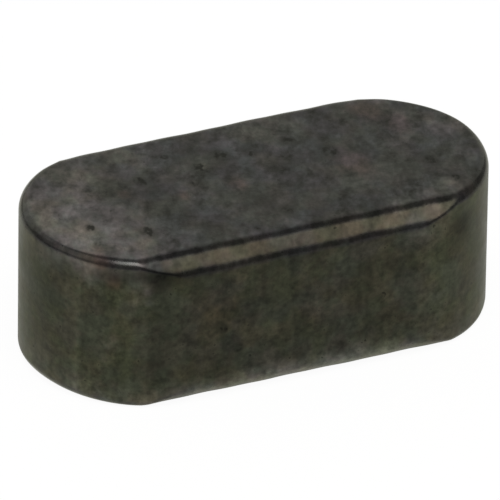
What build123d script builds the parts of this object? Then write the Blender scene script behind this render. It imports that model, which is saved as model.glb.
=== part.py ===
"""Parallel key with two round ends: the drive key that lies half in a shaft's keyseat and half in
the keyway of the hub on it.

It is one piece of drawn key steel. The bar has a 45 degree chamfer along each of its four long
edges. Both ends are milled round, so each chamfer runs out in a curve on the round end, and
tumbling leaves the same small radius on every edge.

Frame, in millimetres: +X along the key, +Y across it, +Z up. The origin is the middle of the
bottom face, which beds in the keyseat.
"""

from build123d import *
import os

WIDTH = 6.0  # over the two side faces, which carry the drive
HEIGHT = 4.0  # bottom face to top face: the thin series for this width
LENGTH = 11.8  # over both round ends: a nominal 12, at the low end of its 0 / -0.2 tolerance
BAR_CHAMFER = 0.39  # leg of the chamfer along the bar, where the standard allows 0.25 to 0.40
EDGE_RADIUS = 0.25  # left on every edge by tumbling


def drawn_bar():
    """The key steel before its ends are milled, with the edges of top and bottom rounded."""
    section = Rectangle(WIDTH, HEIGHT)
    section = chamfer(section.vertices(), BAR_CHAMFER)
    top_corners = section.vertices().group_by(Axis.Y)[-1]
    bottom_corners = section.vertices().group_by(Axis.Y)[0]
    section = fillet(top_corners + bottom_corners, EDGE_RADIUS)
    section = Plane.YZ * Pos(0, HEIGHT / 2) * section
    return extrude(section, amount=LENGTH / 2, both=True)


def end_mill_envelope():
    """What the end cutter leaves in plan: straight sides and full-radius ends."""
    return extrude(SlotOverall(LENGTH, WIDTH), amount=HEIGHT)


def rim_edges(blank):
    """The two closed loops where the side faces and round ends meet chamfers, top and bottom."""
    walls = blank.faces().filter_by(lambda face: abs(face.normal_at().Z) < 1e-6)
    return walls.edges().filter_by(Axis.Z, reverse=True)


def parallel_key():
    blank = drawn_bar() & end_mill_envelope()
    return fillet(rim_edges(blank), EDGE_RADIUS)


os.makedirs("parts", exist_ok=True)
export_step(parallel_key(), "parts/parallel_key.step")
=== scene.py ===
"""The looks of a parallel key: a short bar of drawn steel with round ends and chamfered long edges.

The key's skin is one dense mesh with the form of the CAD solid. The solid is a convex core grown by
a ball, so each point of a stadium-shaped shell is moved to its nearest place on the core
and then out again by the ball's radius. Knocks and unevenness are pressed into that skin.

Lengths are in millimetres here, and MM turns them into the frame's metres.
"""

import math

import bmesh
import bpy
import numpy as np
from mathutils import Matrix, Vector


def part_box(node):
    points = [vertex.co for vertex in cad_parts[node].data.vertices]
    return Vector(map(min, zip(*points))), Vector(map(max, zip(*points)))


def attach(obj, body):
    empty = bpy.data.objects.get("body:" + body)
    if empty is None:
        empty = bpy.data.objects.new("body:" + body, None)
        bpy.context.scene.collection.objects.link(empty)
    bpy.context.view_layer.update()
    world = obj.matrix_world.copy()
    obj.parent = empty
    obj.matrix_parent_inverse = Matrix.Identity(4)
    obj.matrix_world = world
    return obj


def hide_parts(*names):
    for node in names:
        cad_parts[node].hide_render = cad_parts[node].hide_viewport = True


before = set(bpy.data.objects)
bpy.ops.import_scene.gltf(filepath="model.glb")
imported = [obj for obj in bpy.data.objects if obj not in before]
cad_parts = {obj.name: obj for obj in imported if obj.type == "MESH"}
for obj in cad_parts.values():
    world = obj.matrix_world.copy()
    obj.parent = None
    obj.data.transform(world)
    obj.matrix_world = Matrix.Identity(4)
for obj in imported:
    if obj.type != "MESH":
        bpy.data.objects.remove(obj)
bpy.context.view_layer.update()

MM = 0.001
NODE = "parallel_key"

# ---------------------------------------------------------------- the key's sizes

low, high = (np.array(corner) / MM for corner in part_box(NODE))
LENGTH, WIDTH, HEIGHT = high - low
END_RADIUS = WIDTH / 2
HALF_STRAIGHT = LENGTH / 2 - END_RADIUS
MIDDLE = (low + high) / 2

FRONT_TOP_CHAMFER = 0.40  # leg of the 45 degree chamfer along the front-top edge of the drawn bar
OTHER_CHAMFER = 0.32  # the same on the other three long edges, which the die left a little smaller
BALL = 0.15  # radius of the ball that the core is grown by, and so the least radius of any edge
RIM_RADIUS = 0.25  # tumbled radius on the rims of the round ends
BAR_RADIUS = 0.43  # radius left by the die between a chamfer and the faces beside it

# The die left each chamfer's leg wavy: a wave's height, its radians per millimetre, how many times it
# takes the chamfer's own shift, and where it starts.
DIE_WAVES = ((0.009, 2.3, 1, 0.0), (0.006, 5.9, 2, 1.0))
BACK_SHIFT = 2.1  # so that the chamfers at the back and the bottom don't repeat the front-top one
BOTTOM_SHIFT = 1.3
# The back-top chamfer is narrower by this much at this x, and less so away from it.
NARROWING = 0.023
NARROWEST = 1.8
NARROWING_SPREAD = 2.1

# Where tumbling wore the skin: x, y and z from the middle, how deep, and how far it spreads.
WORN = (
    (4.0, 2.8, 2.0, 0.035, 0.42), (-4.0, 2.8, 2.0, 0.032, 0.50), (-3.70, -2.88, 1.70, 0.022, 0.36),
)
# Where a rim is blunter or sharper: x, y and z from the middle, how much radius it gains, and how
# far that spreads.
RIM_CHANGES = (
    (5.77, 0.87, 2, -0.10, 1.2), (4.80, -2.33, -2, -0.10, 1.2), (-5.80, -0.78, -2, 0.10, 1.2),
    (-5.55, -1.40, 2, -0.06, 0.9), (-4.20, -2.70, -2, -0.06, 0.8),
)

# The spacing of the skin's points, which is finest over the edges.
AROUND_STEP = 0.058
FACE_STEP = 0.06
EDGE_STEP = 0.038
UNDERSIDE_STEP = 0.13
SHOULDER = 0.3  # radius of the shell's own shoulder
EDGE_REACH = 0.66  # how far in from the shell's corner the points are close together
PROJECTIONS = 80  # rounds of Dykstra's projections

# ---------------------------------------------------------------- the camera's place

TURN = math.radians(24.23)  # how far the camera stands round from the front, towards -X
RISE = math.radians(30.00)  # how far it looks down
ROLL = math.radians(0.87)  # a slight tilt of the picture
DISTANCE = 331.1
AIM_RIGHT = -0.081  # the picture's centre, seen from the middle of the bottom face
AIM_UP = 1.736
LENS = 986.0  # focal length on Blender's usual sensor

# ---------------------------------------------------------------- the studio's sizes and levels

LAMP_DISTANCE = 1200
FLOOR_HALF = 3000  # half the floor's side
FLOOR_GAP = 0.01  # how far the floor lies under the key, so that the two don't share a plane
FLOOR_GLOW = 0.95  # the part of the floor's white that is its own
PAPER = (0.9, 0.9, 0.9)
ROOM_LIGHT = 0.36

# ---------------------------------------------------------------- finish, in linear light

TOP_TONE = (0.0331, 0.0330, 0.0328)
WALL_TONE = (0.0325, 0.0330, 0.0225)
END_TONE = (0.0445, 0.0460, 0.0290)
CHAMFER_TONE = (0.0445, 0.0410, 0.0320)
BURNISHED_TONE = (0.029, 0.030, 0.030)
# Painted shade: the edges' darker tone is a painted dark reflection along the rims and the chamfers' edges.
EDGE_SHADE_TONE = (0.0250, 0.0243, 0.0230)
# Rubbed places take this lighter tone, and so does the painted sheen on the left rim.
RUBBED_AND_SHEEN_TONE = (0.128, 0.119, 0.108)
# Painted reflection of the floor: the bottom of the walls takes this lighter tone.
FLOOR_REFLECTION_TONE = (0.096, 0.095, 0.076)

# Tints that multiply the tones.
OLIVE_TINT = (0.95, 1.01, 0.96)
BROWN_TINT = (1.06, 0.985, 0.995)
RUST_TINT = (1.22, 0.97, 0.93)
WARM_TINT = (1.02, 1.01, 0.93)
COOL_TINT = (0.98, 0.985, 1.07)

METAL_SHARE = 0.85
SPECULAR_TINT = (0.8, 0.8, 0.72)
FLAT_ROUGHNESS = 0.44
EDGE_ROUGHNESS = 0.25
BUMP_HEIGHT = 0.008

# How strongly each pattern lightens and darkens the steel.
CLOUD_SWING = 1.9
PATCH_SWING = 4.3
GRAIN_SWING = 1.2
STREAK_SWING = 0.7
PIT_DARKNESS = 0.95
# Oil stains and the painted shade under the chamfer and rims darken the steel by up to this share.
OIL_AND_SHADE_DARKNESS = 0.7

FLOOR_REFLECTION_BAND = 0.80  # how far up from the bottom the walls are lighter: a painted reflection of the floor
FLOOR_REFLECTION_FADE = 0.65  # the upper part of that band, over which it fades in
FLOOR_REFLECTION_LOSS = 0.6  # how much weaker the band is on the round ends
END_LEAD = 0.1  # how far before the straight part's end the round end's tone starts
END_FADE = 0.5  # the length over which it comes in
BURNISHED_FADE = (3.57, 3.74)  # between these x, towards -X, the front-top chamfer turns bare

# Degrees that a surface turns away from the nearest face to become edge, and from a chamfer or wall
# to be one no more: where the change starts, and where it is complete.
EDGE_TURN = (2, 20)
CHAMFER_TURN = (3, 20)
WALL_TURN = (3, 30)

GRAIN_TURN = math.radians(24)  # the mottling runs across the bar, this far off square
MARK_STRETCH = 1.4  # a mark is this much longer across the bar

# Marks on the skin: x, y and z from the middle of the bottom face, then size and strength.
PITS = (
    (-4.6, -0.7, 4, 0.12, 1.0), (-3.4, -1.4, 4, 0.16, 1.0), (-4.7, -1.5, 4, 0.10, 0.9),
    (-2.6, 0.9, 4, 0.15, 0.9), (-1.6, 1.8, 4, 0.10, 0.9), (-1.0, 0.9, 4, 0.20, 0.9),
    (-1.4, 0.3, 4, 0.15, 0.8), (-0.3, 1.3, 4, 0.20, 0.8), (0.4, 1.2, 4, 0.15, 0.9),
    (1.5, 1.4, 4, 0.14, 1.0), (0.8, 0.1, 4, 0.20, 0.7), (2.2, 0.5, 4, 0.22, 0.8),
    (4.3, -0.8, 4, 0.18, 0.8), (4.5, -1.8, 4, 0.12, 0.9), (1.5, -1.8, 4, 0.12, 0.9),
    (0.1, -1.7, 4, 0.15, 0.8), (-0.9, -2.2, 4, 0.10, 0.8), (-2.1, -3.0, 1.9, 0.10, 0.9),
    (-1.7, -3.0, 1.3, 0.12, 0.8), (3.1, 3.0, 2.3, 0.18, 0.8), (-4.3, 2.6, 1.9, 0.16, 0.7),
)
# Rubbed places, which are lighter. The mark at x -5.2 on the left rim is a painted sheen that lightens the
# rim's dark line.
RUBBED_AND_SHEEN = (
    (-4.2, -1.9, 4, 0.80, 0.37), (-5.0, -1.0, 4, 0.80, 0.20), (-4.6, -0.1, 4, 1.30, 0.22),
    (-3.8, 1.0, 4, 1.20, 0.16), (-3.2, -1.3, 4, 0.80, 0.16), (-5.2, 0.1, 4, 0.30, 0.16),
    (-0.9, 1.0, 4, 0.15, 0.30), (4.3, -2.0, 4, 0.20, 0.30), (-5.2, -1.9, 3.9, 0.35, 0.60),
    (-3.98, -2.80, 3.2, 0.11, 0.22), (-3.98, -2.80, 2.9, 0.11, 0.20), (4.4, 2.6, 3.9, 0.30, 0.50),
    (-5.3, 1.8, 0.1, 0.40, 0.50), (1.8, 3.0, 1.2, 0.30, 0.20), (3.3, -2.75, 3.8, 0.90, 0.24),
    (-3.6, 2.3, 4, 0.60, 0.26), (-2.1, 2.2, 4, 0.90, 0.16), (1.0, 2.2, 4, 0.80, 0.17),
    (-5.4, 0.9, 4, 0.55, 0.38), (-5.4, -1.3, 4, 0.50, 0.36), (0.4, -0.5, 4, 0.40, 0.16),
    (5.3, 0.8, 4, 0.55, 0.30), (5.2, -1.0, 4, 0.50, 0.12), (-4.7, -2.4, 1.7, 0.30, 0.22),
    (3.6, -2.9, 1.5, 0.28, 0.15), (3.6, -2.9, 0.9, 0.28, 0.15),
)
RUST = (
    (-1.9, -0.1, 4, 0.20, 0.7), (-3.2, 0.5, 4, 0.22, 0.7), (-0.5, -0.1, 4, 0.28, 0.7),
    (3.8, 2.0, 4, 0.40, 0.9), (4.3, 1.1, 4, 0.40, 0.9), (2.5, -0.2, 4, 0.50, 0.8),
    (-4.8, -1.7, 4, 0.20, 0.6), (-4.95, -2.2, 3.95, 0.20, 1.0), (-4.7, -2.4, 3.4, 0.22, 0.8),
    (-2.2, -3.0, 2.4, 0.80, 0.45), (0.3, -3.0, 1.8, 0.60, 0.35), (-2.6, 3.0, 2.8, 0.35, 0.7),
    (5.6, 1.2, 1.6, 0.30, 0.6),
)
# Soft dark patches: oil stains on the top, and painted shade on the walls just under the front-top chamfer
# and the left rim.
OIL_AND_SHADE_MARKS = (
    (-3.7, -2.9, 3.60, 0.25, 0.90), (-3.75, -2.88, 3.30, 0.20, 0.40), (-4.0, -2.8, 3.62, 0.18, 0.55),
    (-3.3, -3.0, 3.56, 0.25, 0.70), (-2.8, -3.0, 3.58, 0.22, 0.50), (-2.4, -3.0, 3.58, 0.20, 0.30),
    (-4.9, -2.2, 3.64, 0.22, 0.50), (-4.6, -2.45, 3.62, 0.22, 0.50), (-4.25, -2.68, 3.62, 0.22, 0.50),
    (-5.8, -0.7, 2.2, 0.90, 0.35), (-2.1, -0.9, 4, 0.30, 0.35), (-2.7, 0.5, 4, 0.90, 0.30),
    (-0.3, -1.1, 4, 0.40, 0.30), (4.3, -2.65, 3.2, 0.35, 1.00), (5.3, -1.8, 2.0, 1.20, 0.25),
    (2.6, 3.0, 1.6, 0.80, 0.35), (-3.6, -1.1, 4, 0.45, 0.35), (-3.6, -2.9, 2.9, 0.40, 0.35),
    (-3.6, -2.9, 2.2, 0.40, 0.25), (-3.6, -2.9, 1.3, 0.45, 0.40), (-4.1, -2.8, 1.2, 0.35, 0.25),
    (-5.9, -0.6, 3.0, 0.60, 0.30), (-5.5, -1.5, 3.5, 0.30, 0.40), (-4.6, -2.45, 3.35, 0.22, 0.35),
    (-3.0, -3.0, 1.1, 0.30, 0.25),
)


# ---------------------------------------------------------------- form

def stadium(spacing):
    """Points round the plan of the key: where each hangs on the spine, and which way is out."""
    straight = max(2, round(2 * HALF_STRAIGHT / spacing))
    arc = max(8, round(math.pi * END_RADIUS / spacing))
    along = np.linspace(-HALF_STRAIGHT, HALF_STRAIGHT, straight, endpoint=False)
    swing = np.linspace(-math.pi / 2, math.pi / 2, arc, endpoint=False)
    spine = np.concatenate([along, np.full(arc, HALF_STRAIGHT), -along, np.full(arc, -HALF_STRAIGHT)])
    out_x = np.concatenate([np.zeros(straight), np.cos(swing), np.zeros(straight), -np.cos(swing)])
    out_y = np.concatenate([-np.ones(straight), np.sin(swing), np.ones(straight), -np.sin(swing)])
    return spine, out_x, out_y


def profile():
    """Rows from the middle of the top, over the rounded shoulder, down the wall and under."""
    half = HEIGHT / 2
    inner = END_RADIUS - EDGE_REACH
    corner = END_RADIUS - SHOULDER

    def steps(start, stop, step):
        count = max(2, round(abs(stop - start) / step))
        return list(np.linspace(start, stop, count, endpoint=False))

    turn = np.linspace(0, math.pi / 2, round(SHOULDER * math.pi / 2 / EDGE_STEP), endpoint=False)
    arc = [(corner + SHOULDER * math.sin(t), half - SHOULDER + SHOULDER * math.cos(t)) for t in turn]
    top_reach = steps(0, inner, FACE_STEP) + steps(inner, corner, EDGE_STEP)
    under_reach = steps(0, inner, UNDERSIDE_STEP) + steps(inner, corner, EDGE_STEP)
    wall_top = half - EDGE_REACH
    wall_height = steps(half - SHOULDER, wall_top, EDGE_STEP) + steps(wall_top, 0, FACE_STEP)
    top = [(r, half) for r in top_reach]
    under = [(r, -half) for r in under_reach]
    upper = [(END_RADIUS, z) for z in wall_height]
    lower = [(r, -z) for r, z in upper + [(END_RADIUS, 0.0)]]
    arc_under = [(r, -z) for r, z in arc]
    rows = top + arc + upper
    rows_under = under + arc_under + lower
    return np.array(rows + rows_under[::-1])


def rounded_corner(u, v, most_u, most_v, soft):
    """The nearest place to (u, v) under both limits, with the corner between them rounded."""
    near_u, near_v = np.minimum(u, most_u - soft), np.minimum(v, most_v - soft)
    away = np.hypot(u - near_u, v - near_v)
    keep = np.minimum(1, soft / np.maximum(away, 1e-9))
    return near_u + keep * (u - near_u), near_v + keep * (v - near_v)


def rim_change(points):
    """How much more or less radius the rim has near each point."""
    total = np.zeros(len(points))
    for x, y, z, change, spread in RIM_CHANGES:
        away = np.linalg.norm(points - (x, y, z), axis=1) / spread
        total += change * np.exp(-away ** 2)
    return total


def section_point(y, z, slope):
    """The nearest place in the bar's section, whose blunt corners are rounded by the die."""
    soft = BAR_RADIUS - BALL
    side = END_RADIUS - BAR_RADIUS
    lid = HEIGHT / 2 - BAR_RADIUS
    slope = slope - soft * math.sqrt(2)
    near_y, near_z = np.minimum(y, side), np.minimum(z, lid)
    sloped_y = np.clip((y - z + slope) / 2, slope - lid, side)
    over = near_y + near_z > slope
    near_y = np.where(over, sloped_y, near_y)
    near_z = np.where(over, slope - sloped_y, near_z)
    away = np.hypot(y - near_y, z - near_z)
    keep = np.minimum(1, soft / np.maximum(away, 1e-9))
    return near_y + keep * (y - near_y), near_z + keep * (z - near_z)


def nearest_in_core(points):
    """The nearest place to each point in the core: all that lies BALL inside every face.

    The core is symmetric, so it is found in one corner of it. There it is what two convex forms
    share, the end mill's stadium and the bar's section, by Dykstra's projections."""
    sign = np.where(points < 0, -1.0, 1.0)
    inner_radius = END_RADIUS - BALL
    inner_height = HEIGHT / 2 - BALL
    front_top = (points[:, 1] < 0) & (points[:, 2] > 0)
    chamfer = np.where(front_top, FRONT_TOP_CHAMFER, OTHER_CHAMFER) + die_wander(points)
    slope = (END_RADIUS + HEIGHT / 2 - chamfer) - BALL * math.sqrt(2)
    soft = RIM_RADIUS - BALL + rim_change(points)
    place = np.abs(points)
    kept_a = np.zeros_like(place)
    kept_b = np.zeros_like(place)
    for _ in range(PROJECTIONS):
        pushed = place + kept_a
        spine_x = np.clip(pushed[:, 0], 0, HALF_STRAIGHT)
        arm = np.stack([pushed[:, 0] - spine_x, pushed[:, 1]], axis=1)
        reach = np.linalg.norm(arm, axis=1)
        kept_reach, z = rounded_corner(reach, pushed[:, 2], inner_radius, inner_height, soft)
        arm *= (kept_reach / np.maximum(reach, 1e-9))[:, None]
        bar = np.stack([spine_x + arm[:, 0], arm[:, 1], z], axis=1)
        kept_a = pushed - bar
        pushed = bar + kept_b
        y, z = section_point(pushed[:, 1], pushed[:, 2], slope)
        place = np.stack([pushed[:, 0], y, z], axis=1)
        kept_b = pushed - place
    return place * sign


def die_wander(points):
    """How much wider or narrower the chamfer is along the bar, which the die didn't leave quite even."""
    x = points[:, 0]
    shift = np.where(points[:, 1] < 0, 0.0, BACK_SHIFT) + np.where(points[:, 2] < 0, BOTTOM_SHIFT, 0.0)
    total = np.zeros(len(points))
    for height, turn, times, start in DIE_WAVES:
        total += height * np.sin(turn * x + times * shift + start)
    back_top = (points[:, 1] > 0) & (points[:, 2] > 0)
    return total - NARROWING * np.exp(-((x - NARROWEST) / NARROWING_SPREAD) ** 2) * back_top


def worn_depth(skin):
    """How deep tumbling wore down each point of the skin."""
    total = np.zeros(len(skin))
    for x, y, z, depth, spread in WORN:
        away = np.linalg.norm(skin - (x, y, z), axis=1) / spread
        total += depth * np.exp(-away ** 2)
    return total


def key_skin():
    """Vertices and faces of the key, with the tumbling's wear pressed in, centred on its middle."""
    spine, out_x, out_y = stadium(AROUND_STEP)
    rows = profile()
    around = len(spine)
    shell = np.array([
        np.stack([spine + r * out_x, r * out_y, np.full(around, z)], axis=1) for r, z in rows
    ]).reshape(-1, 3)
    core = nearest_in_core(shell)
    out = shell - core
    normal = out / np.linalg.norm(out, axis=1)[:, None]
    skin = core + BALL * normal
    skin -= worn_depth(skin)[:, None] * normal
    faces = []
    for row in range(len(rows) - 1):
        for k in range(around):
            here, there = row * around + k, row * around + (k + 1) % around
            faces.append((here, here + around, there + around, there))
    return skin, faces


def key_mesh():
    """The skin as one closed mesh: the rows' ends meet along the middle of the top and underside."""
    skin, faces = key_skin()
    mesh = bpy.data.meshes.new("key_skin")
    mesh.from_pydata([tuple(p) for p in (skin + MIDDLE) * MM], [], faces)
    work = bmesh.new()
    work.from_mesh(mesh)
    bmesh.ops.remove_doubles(work, verts=work.verts, dist=1e-4 * MM)
    bmesh.ops.recalc_face_normals(work, faces=work.faces)
    for face in work.faces:
        face.smooth = True
    work.to_mesh(mesh)
    work.free()
    return mesh


def smooth_step(value, start, stop):
    """0 up to start, 1 from stop on, and a smooth rise between them."""
    t = np.clip((value - start) / (stop - start), 0, 1)
    return t * t * (3 - 2 * t)


def marks(place, spots):
    """How strongly the spots mark each place. Each is a soft patch, a little longer across the bar."""
    total = np.zeros(len(place))
    for x, y, z, size, strength in spots:
        away = (place - (x, y, z)) / size
        total += strength * np.exp(-(away[:, 0] ** 2 + (away[:, 1] / MARK_STRETCH) ** 2 + away[:, 2] ** 2))
    return total


def write_zones(mesh):
    """Writes for the material what each vertex is part of, and how strongly each kind of mark covers it."""
    count = len(mesh.vertices)
    place = np.empty(count * 3)
    normal = np.empty(count * 3)
    mesh.vertices.foreach_get("co", place)
    mesh.vertex_normals.foreach_get("vector", normal)
    place = place.reshape(-1, 3) / MM - MIDDLE
    normal = normal.reshape(-1, 3)

    # Which way a wall and a chamfer look beside each vertex.
    spine = np.clip(place[:, 0], -HALF_STRAIGHT, HALF_STRAIGHT)
    out = np.stack([place[:, 0] - spine, place[:, 1], np.zeros(count)], axis=1)
    out /= np.maximum(np.linalg.norm(out, axis=1), 1e-6)[:, None]
    side = np.where(place < 0, -1.0, 1.0)
    tilt = math.sqrt(0.5)
    slope = np.stack([np.zeros(count), side[:, 1] * tilt, side[:, 2] * tilt], axis=1)

    def angle_from(direction):
        return np.degrees(np.arccos(np.clip((normal * direction).sum(axis=1), -1, 1)))

    from_flat = np.degrees(np.arccos(np.clip(np.abs(normal[:, 2]), 0, 1)))
    from_wall = angle_from(out)
    from_slope = angle_from(slope)
    near = np.minimum(np.minimum(from_flat, from_wall), from_slope)
    round_end = np.clip((np.abs(place[:, 0]) - HALF_STRAIGHT + END_LEAD) / END_FADE, 0, 1)
    from_bottom = place + (0, 0, HEIGHT / 2)
    front_top = (place[:, 1] < 0) & (place[:, 2] > 0)
    burnished = smooth_step(-place[:, 0], *BURNISHED_FADE) * front_top
    chamfer = 1 - smooth_step(from_slope, *CHAMFER_TURN)
    underside = smooth_step(-normal[:, 2], 0.9, 1)
    # Painted reflection of the floor: the walls are lighter towards the bottom, and less so on the round
    # ends.
    floor_reflection = smooth_step(FLOOR_REFLECTION_BAND - from_bottom[:, 2], 0, FLOOR_REFLECTION_FADE)
    zones = {
        "edge": smooth_step(near, *EDGE_TURN),
        "chamfer": chamfer * (1 - burnished),
        "burnished": chamfer * burnished,
        "wall": 1 - smooth_step(from_wall, *WALL_TURN),
        "round_end": round_end,
        "floor_reflection": floor_reflection * (1 - FLOOR_REFLECTION_LOSS * round_end) * (1 - underside),
        "pits": marks(from_bottom, PITS),
        "rubbed_and_sheen": marks(from_bottom, RUBBED_AND_SHEEN),
        "rust": marks(from_bottom, RUST),
        "oil_and_shade": marks(from_bottom, OIL_AND_SHADE_MARKS),
    }
    for name, weight in zones.items():
        mesh.attributes.new(name, "FLOAT", "POINT").data.foreach_set("value", weight)


def make_key():
    """The visible key, which stands for the CAD node."""
    key = bpy.data.objects.new("key_body", key_mesh())
    bpy.context.scene.collection.objects.link(key)
    write_zones(key.data)
    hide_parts(NODE)
    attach(key, "root")
    return key


# ---------------------------------------------------------------- material

class Graph:
    """Short ways to add shader nodes and join them. A value is a number, a colour or a socket."""

    def __init__(self, tree):
        self.tree = tree

    def node(self, kind, values=(), **settings):
        made = self.tree.nodes.new(kind)
        for name, setting in settings.items():
            setattr(made, name, setting)
        for socket, value in dict(values).items():
            self.feed(made.inputs[socket], value)
        return made

    def feed(self, socket, value):
        if isinstance(value, bpy.types.NodeSocket):
            self.tree.links.new(value, socket)
        elif isinstance(value, tuple) and len(value) == 3 and socket.type == "RGBA":
            socket.default_value = (*value, 1)
        else:
            socket.default_value = value

    def math(self, operation, *values):
        return self.node("ShaderNodeMath", enumerate(values), operation=operation).outputs[0]

    def vector(self, operation, *values):
        return self.node("ShaderNodeVectorMath", enumerate(values), operation=operation)

    def mix(self, factor, one, two, blend="MIX"):
        values = {0: factor, 6: one, 7: two}
        return self.node("ShaderNodeMix", values, data_type="RGBA", blend_type=blend).outputs[2]

    def remap(self, value, start, stop, to_start=0.0, to_stop=1.0, smooth=True):
        kind = "SMOOTHSTEP" if smooth else "LINEAR"
        values = {0: value, 1: start, 2: stop, 3: to_start, 4: to_stop}
        return self.node("ShaderNodeMapRange", values, interpolation_type=kind).outputs[0]

    def noise(self, place, scale, detail=2.0, roughness=0.5, shift=(0.0, 0.0, 0.0)):
        moved = self.vector("ADD", place, shift).outputs[0]
        values = {"Vector": moved, "Scale": scale, "Detail": detail, "Roughness": roughness}
        return self.node("ShaderNodeTexNoise", values).outputs[0]

    def attribute(self, name):
        return self.node("ShaderNodeAttribute", attribute_name=name).outputs["Fac"]

    def spread(self, pattern, amount):
        """The pattern about its middle value: its swing either way, times the amount."""
        return self.math("MULTIPLY", self.math("SUBTRACT", pattern, 0.5), amount)


def steel():
    """Dark, greasy steel with some painted shade, from noise patterns and from what write_zones has
    written.
    """
    material = bpy.data.materials.new("key_steel")
    material.use_nodes = True
    tree = material.node_tree
    bsdf = tree.nodes["Principled BSDF"]
    g = Graph(tree)
    seen = g.node("ShaderNodeTexCoord").outputs["Object"]
    place = g.vector("MULTIPLY", seen, (1 / MM, 1 / MM, 1 / MM)).outputs[0]
    edge, chamfer, wall = g.attribute("edge"), g.attribute("chamfer"), g.attribute("wall")
    pits, rubbed_and_sheen, rust = g.attribute("pits"), g.attribute("rubbed_and_sheen"), g.attribute("rust")

    turned = {"Vector": place, "Rotation": (0.0, 0.0, -GRAIN_TURN), "Scale": (1.0, 1.6, 1.0)}
    drawn = g.node("ShaderNodeMapping", turned, vector_type="TEXTURE").outputs[0]
    clouds = g.noise(drawn, 1.0, 3, 0.55)
    patches = g.noise(drawn, 3.1, 4, 0.6, (7.0, 3.0, 1.0))
    grain = g.noise(drawn, 8.0, 3, 0.5, (2.0, 9.0, 5.0))
    hues = g.noise(drawn, 1.7, 3, 0.6, (4.0, 8.0, 2.0))
    cools = g.noise(place, 1.1, 2, 0.5, (3.0, 5.0, 9.0))
    upright = g.vector("MULTIPLY", place, (1.0, 1.0, 0.12)).outputs[0]
    streaks = g.noise(upright, 4.0, 3, 0.6, (1.0, 6.0, 3.0))

    # Top, walls, round ends and chamfers each have a tone. The edges' darker tone is painted shade, the
    # band at the bottom of the walls is a painted reflection of the floor, and rubbed places are lighter,
    # one of them a painted sheen on the left rim.
    wall_tone = g.mix(g.attribute("round_end"), WALL_TONE, END_TONE)
    tone = g.mix(wall, TOP_TONE, wall_tone)
    tone = g.mix(chamfer, tone, CHAMFER_TONE)
    tone = g.mix(g.attribute("burnished"), tone, BURNISHED_TONE)
    tone = g.mix(edge, tone, EDGE_SHADE_TONE)
    tone = g.mix(g.attribute("floor_reflection"), tone, FLOOR_REFLECTION_TONE)
    worn_and_sheen = g.remap(g.math("ADD", rubbed_and_sheen, g.spread(patches, 0.25)), 0.08, 0.85, smooth=False)
    worn_and_sheen = g.math("MULTIPLY", worn_and_sheen, g.remap(edge, 0, 1, 1.0, 0.4, smooth=False))
    tone = g.mix(worn_and_sheen, tone, RUBBED_AND_SHEEN_TONE)

    # The mottling is strongest on flat faces, and weaker on walls, edges, chamfers, rubbed places and the
    # painted sheen on the left rim.
    smoothed = g.math("MAXIMUM", edge, chamfer)
    strength = g.remap(wall, 0, 1, 1.0, 0.5, smooth=False)
    strength = g.math("MULTIPLY", strength, g.remap(smoothed, 0, 1, 1.0, 0.5, smooth=False))
    strength = g.math("MULTIPLY", strength, g.remap(worn_and_sheen, 0, 0.5, 1.0, 0.75, smooth=False))
    clouded = g.math("MULTIPLY", strength, g.spread(clouds, CLOUD_SWING))
    patched = g.math("MULTIPLY", strength, g.spread(patches, PATCH_SWING))
    shade = g.math("ADD", 1.0, clouded)
    shade = g.math("MULTIPLY", shade, g.math("ADD", 1.0, patched))
    sharpness = g.remap(worn_and_sheen, 0, 0.5, 1.0, 0.6, smooth=False)
    grained = g.math("MULTIPLY", sharpness, g.spread(grain, GRAIN_SWING))
    shade = g.math("MULTIPLY", shade, g.math("ADD", 1.0, grained))
    streaked = g.math("MULTIPLY", wall, g.spread(streaks, STREAK_SWING))
    shade = g.math("MULTIPLY", shade, g.math("ADD", 1.0, streaked))

    # Pits are ragged and dark. Oil stains, and painted shade on the walls just under the front-top chamfer
    # and the left rim, darken it softly.
    ragged = g.math("ADD", 1.0, g.math("ADD", g.spread(grain, 6.0), g.spread(patches, 4.0)))
    hole = g.remap(g.math("MULTIPLY", pits, ragged), 0.05, 1.00, smooth=False)
    hole = g.math("MAXIMUM", hole, g.math("MULTIPLY", g.remap(grain, 0.66, 0.76), 0.7))
    shade = g.math("MULTIPLY", shade, g.math("SUBTRACT", 1.0, g.math("MULTIPLY", hole, PIT_DARKNESS)))
    oil_shade_cover = g.math("MULTIPLY", g.attribute("oil_and_shade"), g.math("ADD", 1.0, g.spread(patches, 2.5)))
    shade = g.math("MULTIPLY", shade, g.math("SUBTRACT", 1.0, g.math("MULTIPLY", oil_shade_cover, OIL_AND_SHADE_DARKNESS)))

    # Stains turn its colour to brown or olive, and a wider cast to warm or cool.
    stain = g.mix(g.remap(hues, 0.38, 0.62), OLIVE_TINT, BROWN_TINT)
    rusty = g.remap(g.math("ADD", rust, g.spread(patches, 0.8)), 0.1, 0.8)
    stain = g.mix(rusty, stain, RUST_TINT)
    cast = g.mix(g.remap(cools, 0.38, 0.62), WARM_TINT, COOL_TINT)
    colour = g.mix(1.0, g.mix(1.0, tone, stain, blend="MULTIPLY"), cast, blend="MULTIPLY")
    shaded = g.node("ShaderNodeVectorMath", {0: colour, 3: shade}, operation="SCALE").outputs[0]

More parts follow.
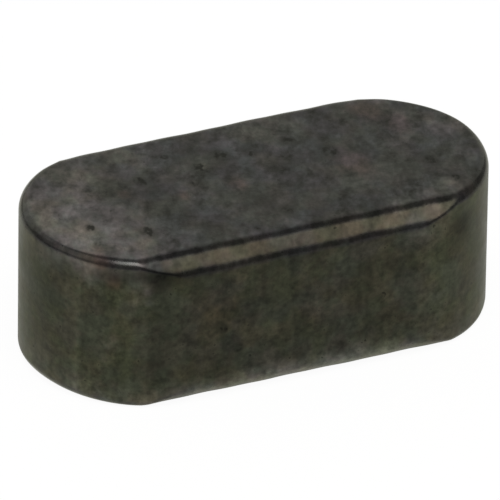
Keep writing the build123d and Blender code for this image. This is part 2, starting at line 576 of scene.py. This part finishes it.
    # Edges, rubbed places and the painted sheen on the left rim are glossier, edges and chamfers have less
    # bump, and pits are sunk.
    roughness = g.remap(edge, 0, 1, FLAT_ROUGHNESS, EDGE_ROUGHNESS, smooth=False)
    roughness = g.math("ADD", roughness, g.spread(patches, 0.3))
    roughness = g.math("ADD", roughness, g.math("MULTIPLY", worn_and_sheen, -0.08))
    height = g.math("ADD", patches, g.math("MULTIPLY", grain, 0.12))
    height = g.math("SUBTRACT", height, g.math("MULTIPLY", hole, 0.15))
    roughened = g.remap(smoothed, 0, 1, 1.0, 0.12, smooth=False)
    relief = {"Strength": roughened, "Distance": BUMP_HEIGHT * MM, "Height": height}
    bump = g.node("ShaderNodeBump", relief)

    g.feed(bsdf.inputs["Base Color"], shaded)
    g.feed(bsdf.inputs["Roughness"], roughness)
    g.feed(bsdf.inputs["Normal"], bump.outputs[0])
    bsdf.inputs["Metallic"].default_value = METAL_SHARE
    bsdf.inputs["Specular Tint"].default_value = (*SPECULAR_TINT, 1)
    return material


# ---------------------------------------------------------------- studio

def make_camera():
    """The camera, at the photograph's angle. Its axes are side, top and back."""
    back = Vector((-math.sin(TURN) * math.cos(RISE), -math.cos(TURN) * math.cos(RISE), math.sin(RISE)))
    right = Vector((math.cos(TURN), -math.sin(TURN), 0))
    up = back.cross(right)
    aim = right * AIM_RIGHT + up * AIM_UP
    side = right * math.cos(ROLL) + up * math.sin(ROLL)
    top = up * math.cos(ROLL) - right * math.sin(ROLL)
    place = (aim + back * DISTANCE) * MM
    data = bpy.data.cameras.new("camera")
    data.lens = LENS
    data.clip_start = 0.01
    data.clip_end = 50
    camera = bpy.data.objects.new("camera", data)
    bpy.context.scene.collection.objects.link(camera)
    axes = Matrix((side, top, back)).transposed().to_4x4()
    camera.matrix_world = Matrix.Translation(place) @ axes
    bpy.context.scene.camera = camera


def make_floor():
    """White paper. To the camera and in reflections most of its white is its own, and the rest is lit,
    so that it keeps a soft shadow. Its back is clear, so that the key's underside can be seen."""
    mesh = bpy.data.meshes.new("floor")
    half = FLOOR_HALF * MM
    z = (low[2] - FLOOR_GAP) * MM
    corners = [(-half, -half, z), (half, -half, z), (half, half, z), (-half, half, z)]
    mesh.from_pydata(corners, [], [(0, 1, 2, 3)])
    floor = bpy.data.objects.new("floor", mesh)
    bpy.context.scene.collection.objects.link(floor)
    material = bpy.data.materials.new("floor")
    material.use_nodes = True
    tree = material.node_tree
    tree.nodes.clear()
    g = Graph(tree)
    path = g.node("ShaderNodeLightPath").outputs
    mirrored = g.math("MAXIMUM", path["Is Glossy Ray"], path["Is Transmission Ray"])
    seen = g.math("MAXIMUM", path["Is Camera Ray"], mirrored)
    share = g.math("MULTIPLY", seen, FLOOR_GLOW)
    paper = g.node("ShaderNodeBsdfDiffuse", {"Color": PAPER}).outputs[0]
    glow = g.node("ShaderNodeEmission").outputs[0]
    mixed = g.node("ShaderNodeMixShader", {0: share, 1: paper, 2: glow}).outputs[0]
    clear = g.node("ShaderNodeBsdfTransparent").outputs[0]
    back = g.node("ShaderNodeNewGeometry").outputs["Backfacing"]
    sheet = g.node("ShaderNodeMixShader", {0: back, 1: mixed, 2: clear}).outputs[0]
    g.node("ShaderNodeOutputMaterial", {0: sheet})
    mesh.materials.append(material)


def softbox(name, direction, width, height, radiance, colour=(1, 1, 1), along=(1, 0, 0)):
    """A rectangular lamp that shines on the key from a direction, with its width along another.

    Its radiance is how bright its face is, and a white surface lit all round by 1 renders as 1."""
    data = bpy.data.lights.new(name, "AREA")
    data.shape = "RECTANGLE"
    data.size = width * MM
    data.size_y = height * MM
    data.energy = radiance * math.pi * data.size * data.size_y
    data.color = colour
    lamp = bpy.data.objects.new(name, data)
    bpy.context.scene.collection.objects.link(lamp)
    back = Vector(direction).normalized()
    wide = Vector(along)
    wide = (wide - back * wide.dot(back)).normalized()
    axes = Matrix((wide, back.cross(wide), back)).transposed().to_4x4()
    lamp.matrix_world = Matrix.Translation(back * LAMP_DISTANCE * MM) @ axes


def make_world():
    """A dim, even room."""
    world = bpy.data.worlds.new("world")
    bpy.context.scene.world = world
    world.use_nodes = True
    background = world.node_tree.nodes["Background"]
    background.inputs["Color"].default_value = (1, 1, 1, 1)
    background.inputs["Strength"].default_value = ROOM_LIGHT


key = make_key()
key.data.materials.append(steel())
make_camera()
make_floor()
make_world()
softbox("back_box", (0.18, 0.85, 0.50), 2160, 970, 0.70)
softbox("front_box", (0.225, -0.52, 0.823), 970, 600, 2.8, (1.0, 0.96, 0.88))
softbox("side_box", (-0.195, -0.340, 0.920), 720, 420, 7.4, along=(0.325, 0.580, 0.403))
softbox("left_box", (-0.66, 0.20, 0.72), 1100, 1300, 0.45, (1.0, 0.95, 0.85))

view_settings = bpy.context.scene.view_settings
view_settings.view_transform = "Standard"
